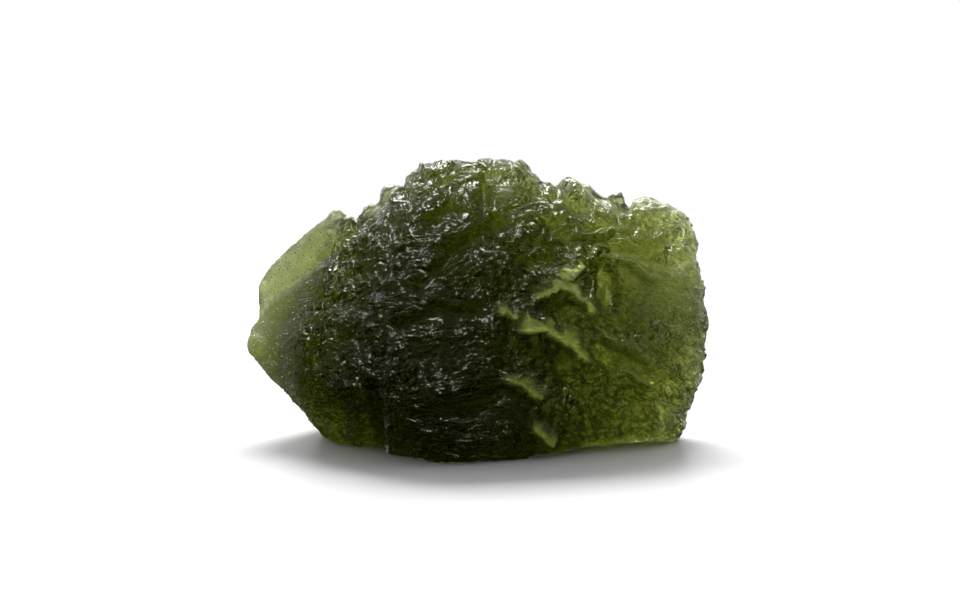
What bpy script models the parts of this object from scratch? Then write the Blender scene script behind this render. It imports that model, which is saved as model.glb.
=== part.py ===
"""Raw moldavite: one lump of natural green glass with a wrinkled and pitted skin.

The stone is shaped in millimetres in the axes of its front view: u to the right, v up and w away
from the viewer. Its outline and the two depths behind and before it give a smooth body. The relief
of the skin is then raised on that body along its own normals. Last the stone leans to the way it
rests, is cut flat where it touches the ground, and is scaled to metres.
"""
import itertools
import math

import bmesh
import bpy
import numpy as np

MM = 0.001
LEAN = math.radians(12.0)     # the front view looks down on the resting stone by this much
GROUND = 1.45                 # how far the ground lies above v = 0 in the rim's plane, once the stone leans
BODY_VOXEL = 0.24             # edge of the even mesh that carries the relief
SKIN_VOXEL = 0.25             # edge of the even mesh that is thinned to the final faces
FACES = 10300                 # triangles kept before the cut, which takes off about a tenth
SINK = 0.18                   # the relief's mean height, taken off so that the outline keeps its size

# The outline in the front view, anticlockwise in u and v from the left tip over the foot, right and top
OUTLINE = [
    (-16.2, 8.2), (-16.1, 7.5), (-15.6, 7.0), (-14.4, 5.7), (-13.6, 4.9), (-12.8, 4.1), (-11.7, 3.1),
    (-10.7, 2.2), (-9.6, 1.4), (-8.2, 0.4), (-6.4, -0.6), (-4.0, -1.5), (-0.5, -1.8), (4.5, -1.5),
    (8.7, -0.6), (12.6, 0.2), (13.5, 0.6), (14.0, 1.1), (14.3, 1.6), (14.7, 2.9), (15.2, 4.5),
    (15.7, 6.3), (16.1, 8.2), (16.3, 9.7), (16.25, 10.9), (15.95, 12.7), (15.7, 13.7), (15.5, 14.6),
    (15.75, 15.3), (15.55, 16.2), (15.2, 16.9), (14.65, 17.5), (14.0, 17.8), (13.2, 17.9), (12.1, 18.2),
    (11.5, 18.1), (11.1, 17.7), (10.7, 17.8), (10.5, 18.3), (10.2, 18.8), (9.2, 18.7), (8.8, 18.6),
    (8.3, 18.8), (7.8, 19.2), (7.3, 19.6), (6.9, 19.8), (6.4, 19.6), (5.6, 19.4), (4.9, 19.5),
    (4.5, 19.4), (4.0, 19.8), (3.7, 20.1), (3.3, 20.4), (2.8, 20.5), (2.2, 20.6), (1.2, 20.8),
    (0.9, 21.1), (0.4, 21.1), (-0.2, 20.8), (-1.0, 20.8), (-1.8, 21.0), (-2.6, 20.9), (-3.6, 20.5),
    (-4.2, 20.2), (-4.6, 19.8), (-4.9, 19.2), (-5.3, 19.2), (-6.0, 19.3), (-6.5, 18.9), (-6.7, 18.4),
    (-7.0, 17.9), (-7.4, 18.0), (-7.9, 17.9), (-8.1, 17.5), (-8.3, 17.0), (-9.1, 17.4), (-9.7, 17.7),
    (-10.0, 17.8), (-10.6, 17.3), (-11.4, 16.6), (-13.1, 15.2), (-14.6, 13.7), (-15.25, 12.7),
    (-15.45, 12.2), (-15.5, 11.3), (-15.4, 10.5), (-15.45, 10.0), (-15.8, 9.5), (-16.1, 8.9)]
CENTRE = (-0.5, 9.2)          # the point that the outline is seen from all round

# Lines where the front drops to thin lumps that stand behind it
LEFT_STEP = [(-7.3, 16.5), (-6.5, 17.1), (-5.8, 18.2), (-5.1, 19.0), (-4.5, 19.6), (-4.0, 20.8)]
RIGHT_STEP = [(4.2, 20.6), (5.0, 19.7), (6.0, 19.4), (7.0, 19.1), (8.0, 18.1), (9.0, 17.9), (10.0, 17.4),
              (11.5, 17.2)]

# The inner border of the frosted face at the left end, from its foot to its top
FROST_EDGE = [(-11.4, 0.5), (-12.3, 4.6), (-12.2, 8.6), (-10.2, 13.6), (-8.9, 18.0)]

# Smooth valleys of the front: line, half width, depth
VALLEYS = [
    ([(2.4, 17.2), (0.9, 16.1), (-0.6, 15.3), (-2.1, 14.0), (-3.6, 12.4)], 0.62, 0.55),
    ([(1.1, 10.5), (-0.8, 10.4), (-2.6, 10.4), (-4.3, 9.8), (-6.4, 9.4)], 0.60, 0.35),
    ([(-7.3, 5.7), (-7.1, 3.9), (-6.9, 2.2), (-6.8, -0.1)], 0.75, 0.75),
    ([(-3.6, 3.7), (-1.5, 3.9), (0.6, 4.4), (2.6, 4.9)], 0.50, 0.50),
    ([(0.7, 19.6), (0.5, 18.4), (0.5, 17.2)], 0.50, 0.45),
    ([(8.5, 15.1), (10.4, 14.6), (12.6, 14.0), (15.0, 14.0)], 0.70, 0.50),
    ([(5.0, 18.8), (6.9, 17.9), (8.7, 17.4)], 0.75, 0.50),
    ([(6.8, 16.3), (8.7, 16.5), (10.1, 16.2)], 0.50, 0.45),
    ([(4.7, 17.1), (5.5, 16.0), (6.6, 15.4)], 0.50, 0.45),
    ([(-3.3, 16.1), (-2.6, 16.8), (-1.0, 17.4)], 0.70, 0.40),
]
# Bowls of the front: middle, half axes, turn in degrees, depth
BOWLS = [
    ((8.8, 12.3), (0.95, 1.8), 14, 0.75),
    ((5.7, 10.5), (1.6, 0.75), -4, 0.60),
    ((9.2, 7.4), (2.3, 0.9), -20, 0.55),
    ((12.1, 6.1), (1.9, 0.9), -35, 0.40),
    ((13.3, 15.2), (1.3, 0.8), 20, 0.45),
    ((3.8, 13.8), (1.8, 0.5), 3, 0.30),
    ((5.9, 7.0), (1.0, 0.8), 3, 0.30),
    ((12.2, 16.6), (0.9, 0.8), 3, 0.35),
    ((10.2, 18.0), (0.8, 0.8), 3, 0.35),
]
# Bowls of the back, which show in the front view only by the light that they let through: middle,
# half axes, turn in degrees, depth
BACK_BOWLS = [
    ((8.8, 12.3), (3.0, 3.6), 0, 2.4),
    ((5.2, 9.0), (4.5, 4.5), 0, 2.0),
    ((6.8, 4.0), (5.0, 3.6), 0, 1.6),
]
# Ledges of the front: line, rise above its left side, reach of its left slope. Its right side drops off.
LEDGES = [
    ([(3.5, 11.2), (4.5, 11.6), (5.6, 11.9), (6.6, 11.6), (7.4, 10.9), (7.8, 9.9)], 0.50, 0.9),
    ([(6.2, 12.3), (6.6, 12.9), (7.4, 13.4)], 0.45, 0.6),
    ([(4.3, 15.4), (5.9, 15.7), (7.3, 15.7), (8.7, 15.7), (10.0, 16.2), (11.1, 17.0)], 0.45, 0.8),
    ([(8.5, 14.3), (10.1, 14.0), (11.6, 13.4), (13.5, 12.5)], 0.45, 0.8),
    ([(1.2, 10.5), (2.0, 10.3), (2.8, 9.8)], 0.50, 0.6),
    ([(2.4, 9.3), (4.1, 9.1), (5.6, 8.7), (6.7, 7.8), (7.7, 6.8)], 0.85, 0.9),
    ([(6.9, 8.8), (8.7, 8.7), (10.2, 8.1), (11.6, 7.4), (13.0, 6.3)], 0.50, 0.8),
    ([(1.9, 5.8), (3.1, 5.7), (3.9, 5.0), (4.3, 4.1)], 0.45, 0.7),
    ([(3.6, 2.5), (4.3, 2.0), (5.1, 1.3)], 0.45, 0.6),
    ([(12.1, 4.3), (12.6, 3.3), (12.8, 2.6), (12.2, 1.8)], 0.60, 0.7),
    ([(10.0, 6.7), (11.0, 5.8), (11.9, 5.1)], 0.30, 0.5),
]
# Raised knobs of the front: middle, radius, height
KNOBS = [
    ((1.9, 18.6), 0.60, 0.60),
    ((3.1, 20.3), 0.60, 0.35),
    ((-15.5, 8.2), 0.70, 0.25),
]


class Noise:
    """Smooth seeded values in space, about -1 to 1, that change over one unit."""

    def __init__(self, seed):
        rng = np.random.default_rng(seed)
        self.order = np.tile(rng.permutation(256), 3)
        ways = rng.normal(size=(256, 3))
        self.ways = ways / np.linalg.norm(ways, axis=1, keepdims=True)

    def pick(self, cell):
        """A seeded number from 0 to 255 for each whole-numbered cell."""
        c = cell & 255
        return self.order[self.order[self.order[c[:, 0]] + c[:, 1]] + c[:, 2]]

    def __call__(self, p):
        cell = np.floor(p).astype(np.int64)
        f = p - cell
        fade = f * f * f * (f * (f * 6 - 15) + 10)
        total = np.zeros(len(p))
        for corner in itertools.product((0, 1), repeat=3):
            way = self.ways[self.pick(cell + corner)]
            weight = np.prod(np.where(corner, fade, 1 - fade), axis=1)
            total += weight * np.einsum("ij,ij->i", way, f - corner)
        return total * 1.7

    def cells(self, p):
        """Distances to the nearest two of the seeded points, one to a cell, and a slope of the nearest."""
        cell = np.floor(p).astype(np.int64)
        f = p - cell
        best = np.full(len(p), 9.0)
        second = np.full(len(p), 9.0)
        tilt = np.zeros(len(p))
        for corner in itertools.product((-1, 0, 1), repeat=3):
            way = self.ways[self.pick(cell + corner)]
            offset = f - (np.array(corner) + 0.5 + 0.45 * way)
            d = np.linalg.norm(offset, axis=1)
            second = np.where(d < best, best, np.minimum(second, d))
            tilt = np.where(d < best, np.einsum("ij,ij->i", offset, way[:, ::-1]), tilt)
            best = np.minimum(best, d)
        return best, second, tilt


NOISE = Noise(7)


def smooth(x, low, high):
    """0 below low, 1 above high, and an even S between."""
    t = np.clip((x - low) / (high - low), 0, 1)
    return t * t * (3 - 2 * t)


def least(a, b, blend):
    """The smaller of two, rounded where they meet."""
    h = np.clip(0.5 + 0.5 * (b - a) / blend, 0, 1)
    return b * (1 - h) + a * h - blend * h * (1 - h)


def bevel(u, v, origin, way, start, slope):
    """A slanting face: start deep at origin, and deeper by slope for each millimetre along way."""
    size = math.hypot(*way)
    return start + slope * ((u - origin[0]) * way[0] + (v - origin[1]) * way[1]) / size


def shouldered(u, v, origin, way, start, shoulder):
    """A nearly flat face: start deep at origin, and far steeper past the shoulder's distance along way."""
    flat_slope, steep_slope, blend = 0.22, 0.85, 2.6
    flat = bevel(u, v, origin, way, start, flat_slope)
    steep = bevel(u, v, origin, way, start + (flat_slope - steep_slope) * shoulder, steep_slope)
    return -least(-flat, -steep, blend)


def to_line(line, u, v):
    """Distance to a line of points, positive on its left, and how far along it the nearest place is."""
    points = np.array(line)
    spans = np.hypot(*(points[1:] - points[:-1]).T)
    nearest = np.full(len(u), 1e9)
    along = np.zeros(len(u))
    run = 0.0
    for a, b, span in zip(points[:-1], points[1:], spans):
        way = (b - a) / span
        t = np.clip((u - a[0]) * way[0] + (v - a[1]) * way[1], 0, span)
        du = u - a[0] - t * way[0]
        dv = v - a[1] - t * way[1]
        d = np.hypot(du, dv) * np.where(way[0] * dv - way[1] * du < 0, -1, 1)
        closer = np.abs(d) < np.abs(nearest)
        nearest = np.where(closer, d, nearest)
        along = np.where(closer, (run + t) / spans.sum(), along)
        run += span
    return nearest, along


def closed_curve(points, steps=6):
    """A smooth closed curve through the points."""
    p = np.array(points)
    before, here, after, later = np.roll(p, 1, 0), p, np.roll(p, -1, 0), np.roll(p, -2, 0)
    out = []
    for t in np.arange(steps) / steps:
        out.append(0.5 * (2 * here + (after - before) * t
                          + (2 * before - 5 * here + 4 * after - later) * t * t
                          + (3 * here - before - 3 * after + later) * t ** 3))
    return np.stack(out, axis=1).reshape(-1, 2)


def rim_radius(angle):
    """The outline's distance from CENTRE in each direction."""
    curve = closed_curve(OUTLINE) - CENTRE
    direction = np.arctan2(curve[:, 1], curve[:, 0])
    order = np.argsort(direction)
    return np.interp(angle, direction[order], np.hypot(*curve.T)[order], period=2 * math.pi)


def front_depth(u, v):
    """How far the front stands out from the rim's plane, before the rim closes."""
    brow = 1.4 * np.exp(-((u - 1.0) / 7.0) ** 2 - ((v - 16.0) / 3.5) ** 2)
    depth = 7.2 + brow - 0.012 * (u + 3.0) ** 2 + 0.06 * (9.0 - v) - 0.011 * np.maximum(v - 9.0, 0) ** 2
    depth = least(depth, shouldered(u, v, (-12.4, 15.5), (0.86, -0.5), 1.7, 3.0), 1.0)
    depth = least(depth, bevel(u, v, (-10.7, 2.2), (0.6, 0.8), 1.6, 1.5), 1.0)
    depth = least(depth, bevel(u, v, (16.0, 9.9), (-1.0, 0.05), 2.1, 0.30), 1.2)
    depth = least(depth, bevel(u, v, (12.2, 18.4), (-0.45, -0.9), 1.4, 0.44), 1.2)
    depth = least(depth, bevel(u, v, (0.2, 21.3), (0.0, -1.0), 5.0, 0.75), 1.2)
    lifted = np.interp(u, [2.7, 6.3, 11.6, 14.0], [-1.0, 0.6, 1.35, 1.0])
    depth = least(depth, np.maximum(0.6 + 5.0 * (v - lifted), 0.6), 0.6)
    beyond = smooth(to_line(LEFT_STEP, u, v)[0], -0.1, 0.5)
    depth = depth * (1 - beyond) + 0.4 * beyond
    beyond = smooth(to_line(RIGHT_STEP, u, v)[0], -0.1, 0.5)
    beyond = beyond * smooth(u, 4.0, 5.0) * (1 - smooth(u, 10.2, 11.5))
    depth = depth * (1 - beyond) + 0.5 * beyond
    return np.maximum(depth, 0.35)


def bowl_reach(u, v, middle, half_axes, turn):
    """Distance from a bowl's middle in shares of its half axes."""
    c, s = math.cos(math.radians(turn)), math.sin(math.radians(turn))
    du, dv = u - middle[0], v - middle[1]
    return np.hypot((du * c + dv * s) / half_axes[0], (-du * s + dv * c) / half_axes[1])


def back_depth(u, v):
    """How far the back stands out behind the rim's plane, before the rim closes."""
    depth = 6.6 - 0.010 * (u - 1.0) ** 2 - 0.006 * (v - 10.0) ** 2
    depth = least(depth, shouldered(u, v, (-13.1, 14.8), (0.86, -0.5), 2.3, 3.4), 1.0)
    depth = least(depth, bevel(u, v, (16.0, 9.9), (-1.0, 0.0), 2.0, 0.27), 1.2)
    depth = least(depth, bevel(u, v, (12.2, 18.4), (-0.3, -0.95), 1.4, 0.40), 1.2)
    depth = least(depth, bevel(u, v, (0.2, 21.3), (0.1, -1.0), 4.2, 0.70), 1.2)
    for middle, half_axes, turn, deep in BACK_BOWLS:
        depth = depth - deep * (1 - smooth(bowl_reach(u, v, middle, half_axes, turn), 0.3, 1.4))
    beyond = smooth(to_line(LEFT_STEP, u, v)[0], -0.3, 0.6) * smooth(v, 16.0, 17.0)
    return np.maximum(depth * (1 - beyond) + 1.1 * beyond, 0.8)


def smooth_body(rings=110, spokes=240):
    """The body without its relief, as points and faces in u, v and w."""
    angle = np.linspace(-math.pi, math.pi, spokes, endpoint=False)
    rim = rim_radius(angle)
    rows = []
    for t in np.linspace(-math.pi / 2, math.pi / 2, rings + 1)[1:-1]:
        share = math.cos(t) ** 0.35
        closing = abs(math.sin(t)) ** 0.8
        u = CENTRE[0] + share * rim * np.cos(angle)
        v = CENTRE[1] + share * rim * np.sin(angle)
        w = -front_depth(u, v) * closing if t < 0 else back_depth(u, v) * closing
        rows.append(np.stack([u, v, w], axis=1))
    centre = np.array([[CENTRE[0]], [CENTRE[1]]])
    front = [CENTRE[0], CENTRE[1], -front_depth(*centre)[0]]
    back = [CENTRE[0], CENTRE[1], back_depth(*centre)[0]]
    points = np.vstack(rows + [[front], [back]])
    faces = []
    for row, k in itertools.product(range(len(rows) - 1), range(spokes)):
        nxt = (k + 1) % spokes
        here, there = row * spokes, (row + 1) * spokes
        faces.append((here + k, here + nxt, there + nxt, there + k))
    last = (len(rows) - 1) * spokes
    for k in range(spokes):
        nxt = (k + 1) % spokes
        faces.append((nxt, k, len(points) - 2))
        faces.append((last + k, last + nxt, len(points) - 1))
    return points, faces


def flow(p):
    """Places along and across the wrinkles, which arch over the front and fall away at its lower left."""
    u, v, w = p.T
    arch = v + 0.026 * (u - 1.0) ** 2
    slant = 0.82 * v + 0.57 * u + 8.6
    low_left = smooth(-u, 5.5, 11.5) * (1 - smooth(v, 1.5, 8.0))
    return u, arch * (1 - low_left) + slant * low_left, w


def skin(p, normal):
    """The relief's height in millimetres at points on the smooth body."""
    u, v, w = p.T
    front = smooth(-normal[:, 2], -0.15, 0.35)
    bend = np.stack([NOISE(p * 0.35 + 3.1), NOISE(p * 0.35 + 17.7), NOISE(p * 0.35 + 31.3)], axis=1)
    q = p + bend * 1.6
    frosted = smooth(to_line(FROST_EDGE, u, v)[0], -0.8, 1.6)
    height = (0.40 * NOISE(p * 0.28 + 5.0) + 0.20 * NOISE(q * 0.6 + 9.0)) * (1 - 0.8 * frosted)

    along, across, away = flow(q)
    wrinkle = (1 - np.abs(NOISE(np.stack([along * 0.28, across * 1.0, away * 0.5], axis=1) + 40.0))) ** 2
    fine = (1 - np.abs(NOISE(np.stack([along * 0.7, across * 2.3, away * 1.2], axis=1) + 60.0))) ** 2
    nearest, second, tilt = NOISE.cells(q * (0.50, 0.75, 0.55) + 2.0)
    scale = smooth(second - nearest, 0.0, 0.25) * (0.6 + 0.8 * tilt)
    nearest, second, tilt = NOISE.cells(q * (1.1, 1.5, 1.2) + 12.0)
    small_scale = smooth(second - nearest, 0.0, 0.35) * (0.6 + 0.8 * tilt)

    lower_right = smooth(u, -3.0, 3.0) * (1 - smooth(v, 8.0, 11.0))
    right_end = smooth(u, 9.0, 13.0)
    wrinkled = (1 - 0.75 * lower_right) * (1 - 0.6 * right_end)
    scaly = 0.25 + 0.75 * lower_right + 0.3 * smooth(v, 14.0, 18.0)
    wrinkled = (wrinkled * front + 0.7 * (1 - front)) * (1 - 0.85 * frosted)
    scaly = (scaly * front + 0.7 * (1 - front)) * (1 - 0.8 * frosted)
    detail = wrinkled * (0.26 * wrinkle + 0.12 * fine) + scaly * (0.30 * scale + 0.15 * small_scale)

    shift = 0.30 * NOISE(p * 0.8 + 70.0) + 0.10 * NOISE(p * 2.0 + 75.0)
    lift = 0.30 * NOISE(p * 0.8 + 90.0) + 0.10 * NOISE(p * 2.0 + 95.0)
    a, b = u + shift, v + lift
    quiet = np.zeros(len(u))
    form = np.zeros(len(u))
    for line, half_width, depth in VALLEYS:
        d, t = to_line(line, a, b)
        ends = smooth(t, 0, 0.15) * (1 - smooth(t, 0.85, 1.0))
        hollow = (1 - smooth(np.abs(d), 0.2 * half_width, 1.4 * half_width)) * (0.25 + 0.75 * ends)
        form -= depth * hollow
        quiet = np.maximum(quiet, hollow)
    for middle, half_axes, turn, depth in BOWLS:
        r = bowl_reach(a, b, middle, half_axes, turn)
        form -= depth * np.clip(1 - r ** 2, -0.35, 1) * (1 - smooth(r, 1.0, 1.5))
        quiet = np.maximum(quiet, 1 - smooth(r, 0.7, 1.0))
    for line, rise, reach in LEDGES:
        d, t = to_line(line, a, b)
        ends = smooth(t, 0, 0.2) * (1 - smooth(t, 0.8, 1.0))
        upper = np.exp(-np.maximum(d, 0) / reach)
        lower = 1 - 1.45 * smooth(-d, 0.0, 0.32) * np.exp(-np.maximum(-d - 0.32, 0) / reach)
        lower = lower * np.exp(-np.maximum(-d - 0.32, 0) / reach)
        form += rise * np.where(d > 0, upper, lower) * (0.1 + 0.9 * ends) * (1 - smooth(np.abs(d), 1.5, 3.0))
    for (x, y), radius, tall in KNOBS:
        form += tall * np.exp(-(np.hypot(u - x, v - y) / radius) ** 4)
    return height + detail * (1 - 0.85 * quiet * front) + form * front - SINK


def even_mesh(points, faces, voxel):
    """A closed mesh of even quads over the given one."""
    source = bpy.data.meshes.new("source")
    source.from_pydata([tuple(p) for p in points], [], faces)
    bm = bmesh.new()
    bm.from_mesh(source)
    bmesh.ops.recalc_face_normals(bm, faces=bm.faces)
    bm.to_mesh(source)
    bm.free()
    holder = bpy.data.objects.new("source", source)
    bpy.context.scene.collection.objects.link(holder)
    remesh = holder.modifiers.new("even", "REMESH")
    remesh.mode = "VOXEL"
    remesh.voxel_size = voxel
    result = evaluated(holder)
    bpy.data.objects.remove(holder)
    bpy.data.meshes.remove(source)
    return result


def evaluated(holder):
    """A new mesh of the object with its modifiers."""
    holder.update_tag()
    graph = bpy.context.evaluated_depsgraph_get()
    return bpy.data.meshes.new_from_object(holder.evaluated_get(graph))


def arrays(mesh):
    """The mesh's points and normals."""
    points = np.empty(len(mesh.vertices) * 3, np.float32)
    normals = np.empty(len(mesh.vertices) * 3, np.float32)
    mesh.vertices.foreach_get("co", points)
    mesh.vertices.foreach_get("normal", normals)
    return points.reshape(-1, 3).astype(float), normals.reshape(-1, 3).astype(float)


def softened(mesh, normals, rounds=8):
    """The normals, each evened out with its neighbours'."""
    edges = np.empty(len(mesh.edges) * 2, np.int32)
    mesh.edges.foreach_get("vertices", edges)
    a, b = edges.reshape(-1, 2).T
    for _ in range(rounds):
        total = normals.copy()
        np.add.at(total, a, normals[b])
        np.add.at(total, b, normals[a])
        normals = total / np.linalg.norm(total, axis=1, keepdims=True)
    return normals


def resting(p):
    """Points of the front view, turned to the way the stone rests: x right, y away and z up."""
    c, s = math.cos(LEAN), math.sin(LEAN)
    return np.stack([p[:, 0], p[:, 1] * s + p[:, 2] * c, p[:, 1] * c - p[:, 2] * s - GROUND], axis=1)


def skinned_points(mesh):
    """The mesh's points with the relief on them, in the front view's axes."""
    points, normals = arrays(mesh)
    normals = softened(mesh, normals)
    return points + normals * skin(points, normals)[:, None]


def glass_material():
    """Bottle-green glass that lets light through."""
    material = bpy.data.materials.new("moldavite_glass")
    material.use_nodes = True
    shader = material.node_tree.nodes["Principled BSDF"]
    shader.inputs["Base Color"].default_value = (0.16, 0.24, 0.05, 1)
    shader.inputs["Roughness"].default_value = 0.22
    shader.inputs["Metallic"].default_value = 0.0
    shader.inputs["IOR"].default_value = 1.49
    shader.inputs["Transmission Weight"].default_value = 0.8
    return material


def cut_flat(mesh):
    """Take off all that lies below z = 0 and close the cut with one flat face."""
    bm = bmesh.new()
    bm.from_mesh(mesh)
    everything = bm.verts[:] + bm.edges[:] + bm.faces[:]
    cut = bmesh.ops.bisect_plane(bm, geom=everything, dist=1e-4, plane_co=(0, 0, 0), plane_no=(0, 0, 1),
                                 clear_inner=True)
    rim = [piece for piece in cut["geom_cut"] if isinstance(piece, bmesh.types.BMEdge)]
    bmesh.ops.holes_fill(bm, edges=rim, sides=0)
    bmesh.ops.triangulate(bm, faces=bm.faces[:])
    bm.to_mesh(mesh)
    bm.free()


def main():
    for old in list(bpy.data.objects):
        bpy.data.objects.remove(old)
    points, faces = smooth_body()
    body = even_mesh(points, faces, BODY_VOXEL)
    quads = np.empty(len(body.loops), np.int32)
    body.loops.foreach_get("vertex_index", quads)
    skinned = even_mesh(resting(skinned_points(body)), quads.reshape(-1, 4).tolist(), SKIN_VOXEL)

    stone = bpy.data.objects.new("moldavite", skinned)
    bpy.context.scene.collection.objects.link(stone)
    thinning = stone.modifiers.new("thinning", "DECIMATE")
    thinning.ratio = FACES / (2 * len(skinned.polygons))
    thinning.use_collapse_triangulate = True
    mesh = evaluated(stone)
    stone.modifiers.clear()
    stone.data = mesh
    bpy.data.meshes.remove(skinned)
    bpy.data.meshes.remove(body)
    cut_flat(mesh)

    corners, _ = arrays(mesh)
    low, high = corners.min(axis=0), corners.max(axis=0)
    corners -= ((low[0] + high[0]) / 2, (low[1] + high[1]) / 2, 0)
    mesh.vertices.foreach_set("co", (corners * MM).astype(np.float32).ravel())
    mesh.update()
    mesh.name = "moldavite"
    mesh.materials.append(glass_material())


if __name__ == "__main__":
    main()
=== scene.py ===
"""Raw moldavite: the dressed stone with its wrinkled green glass, and a plain studio to show it in.

The stone is shaped in millimetres in the axes of its front view: u to the right, v up and w away
from the viewer. Its outline and the depths before and behind it give a smooth body, the relief of
the skin is raised on that body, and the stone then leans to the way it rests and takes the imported
solid's place.
"""
import itertools
import math

import bmesh
import bpy
import numpy as np
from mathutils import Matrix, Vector


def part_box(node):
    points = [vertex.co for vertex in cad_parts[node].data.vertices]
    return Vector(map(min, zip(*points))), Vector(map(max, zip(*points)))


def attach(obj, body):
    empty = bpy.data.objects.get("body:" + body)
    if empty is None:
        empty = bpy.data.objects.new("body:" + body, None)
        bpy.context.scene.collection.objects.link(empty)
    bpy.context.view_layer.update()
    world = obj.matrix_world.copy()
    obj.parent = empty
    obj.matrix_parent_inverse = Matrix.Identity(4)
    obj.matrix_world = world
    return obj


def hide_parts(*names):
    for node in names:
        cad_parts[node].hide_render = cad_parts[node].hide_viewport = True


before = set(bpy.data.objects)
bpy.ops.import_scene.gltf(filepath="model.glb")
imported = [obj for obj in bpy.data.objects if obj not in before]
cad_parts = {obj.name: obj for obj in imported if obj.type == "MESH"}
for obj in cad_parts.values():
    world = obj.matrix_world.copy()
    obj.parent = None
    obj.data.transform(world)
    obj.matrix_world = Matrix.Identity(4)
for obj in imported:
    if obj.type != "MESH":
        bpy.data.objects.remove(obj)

bl_info = {
    "name": "Raw moldavite",
    "version": (1, 0, 0),
    "blender": (4, 5, 0),
    "location": "3D View > Sidebar > Moldavite",
    "description": "Builds a raw moldavite of wrinkled green glass and the studio around it",
    "category": "Object",
}

MM = 0.001
STONE = "moldavite"
LEAN = math.radians(12.0)     # the front view looks down on the resting stone by this much
GROUND = 1.45                 # the ground's height above the rim plane's v = 0, once the stone leans
SINK = 0.18                   # the relief's mean height, taken off so that the outline keeps its size
FOOT_PITS = 0.08              # how high the pits of the foot reach above the ground
AIM = (0.25, 11.32)           # the point of the front view, u and v, that the camera looks at
PICTURE_WIDTH = 67.5          # how much of the front view the picture spans, in millimetres

# The outline in the front view, in u and v, anticlockwise from the left tip over the foot, the right
# end and the top
OUTLINE = [
    (-16.2, 8.2), (-16.1, 7.5), (-15.6, 7.0), (-14.4, 5.7), (-13.6, 4.9), (-12.8, 4.1), (-11.7, 3.1),
    (-10.7, 2.2), (-9.6, 1.4), (-8.2, 0.4), (-6.4, -0.6), (-4.0, -1.5), (-0.5, -1.8), (4.5, -1.5),
    (8.7, -0.6), (12.6, 0.2), (13.5, 0.6), (14.0, 1.1), (14.3, 1.6), (14.7, 2.9), (15.2, 4.5),
    (15.7, 6.3), (16.1, 8.2), (16.3, 9.7), (16.25, 10.9), (15.95, 12.7), (15.7, 13.7), (15.5, 14.6),
    (15.75, 15.3), (15.55, 16.2), (15.2, 16.9), (14.65, 17.5), (14.0, 17.8), (13.2, 17.9), (12.1, 18.2),
    (11.5, 18.1), (11.1, 17.7), (10.7, 17.8), (10.5, 18.3), (10.2, 18.8), (9.2, 18.7), (8.8, 18.6),
    (8.3, 18.8), (7.8, 19.2), (7.3, 19.6), (6.9, 19.8), (6.4, 19.6), (5.6, 19.4), (4.9, 19.5),
    (4.5, 19.4), (4.0, 19.8), (3.7, 20.1), (3.3, 20.4), (2.8, 20.5), (2.2, 20.6), (1.2, 20.8),
    (0.9, 21.1), (0.4, 21.1), (-0.2, 20.8), (-1.0, 20.8), (-1.8, 21.0), (-2.6, 20.9), (-3.6, 20.5),
    (-4.2, 20.2), (-4.6, 19.8), (-4.9, 19.2), (-5.3, 19.2), (-6.0, 19.3), (-6.5, 18.9), (-6.7, 18.4),
    (-7.0, 17.9), (-7.4, 18.0), (-7.9, 17.9), (-8.1, 17.5), (-8.3, 17.0), (-9.1, 17.4), (-9.7, 17.7),
    (-10.0, 17.8), (-10.6, 17.3), (-11.4, 16.6), (-13.1, 15.2), (-14.6, 13.7), (-15.25, 12.7),
    (-15.45, 12.2), (-15.5, 11.3), (-15.4, 10.5), (-15.45, 10.0), (-15.8, 9.5), (-16.1, 8.9)]
CENTRE = (-0.5, 9.2)          # the point that the outline is seen from all round

# Lines where the front drops to thin lumps that stand behind it
LEFT_STEP = [(-7.3, 16.5), (-6.5, 17.1), (-5.8, 18.2), (-5.1, 19.0), (-4.5, 19.6), (-4.0, 20.8)]
RIGHT_STEP = [(4.2, 20.6), (5.0, 19.7), (6.0, 19.4), (7.0, 19.1), (8.0, 18.1), (9.0, 17.9), (10.0, 17.4),
              (11.5, 17.2)]
# The inner border of the frosted face at the left end, from its foot to its top
FROST_EDGE = [(-11.4, 0.5), (-12.3, 4.6), (-12.2, 8.6), (-10.2, 13.6), (-8.9, 18.0)]

# Smooth valleys of the front: line, half width, depth
VALLEYS = [
    ([(2.4, 17.2), (0.9, 16.1), (-0.6, 15.3), (-2.1, 14.0), (-3.6, 12.4)], 0.62, 0.55),
    ([(1.1, 10.5), (-0.8, 10.4), (-2.6, 10.4), (-4.3, 9.8), (-6.4, 9.4)], 0.60, 0.35),
    ([(-7.3, 5.7), (-7.1, 3.9), (-6.9, 2.2), (-6.8, -0.1)], 0.75, 0.75),
    ([(-3.6, 3.7), (-1.5, 3.9), (0.6, 4.4), (2.6, 4.9)], 0.50, 0.50),
    ([(0.7, 19.6), (0.5, 18.4), (0.5, 17.2)], 0.50, 0.45),
    ([(8.5, 15.1), (10.4, 14.6), (12.6, 14.0), (15.0, 14.0)], 0.70, 0.50),
    ([(5.0, 18.8), (6.9, 17.9), (8.7, 17.4)], 0.75, 0.50),
    ([(6.8, 16.3), (8.7, 16.5), (10.1, 16.2)], 0.50, 0.45),
    ([(4.7, 17.1), (5.5, 16.0), (6.6, 15.4)], 0.50, 0.45),
    ([(-3.3, 16.1), (-2.6, 16.8), (-1.0, 17.4)], 0.70, 0.40),
]
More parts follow.
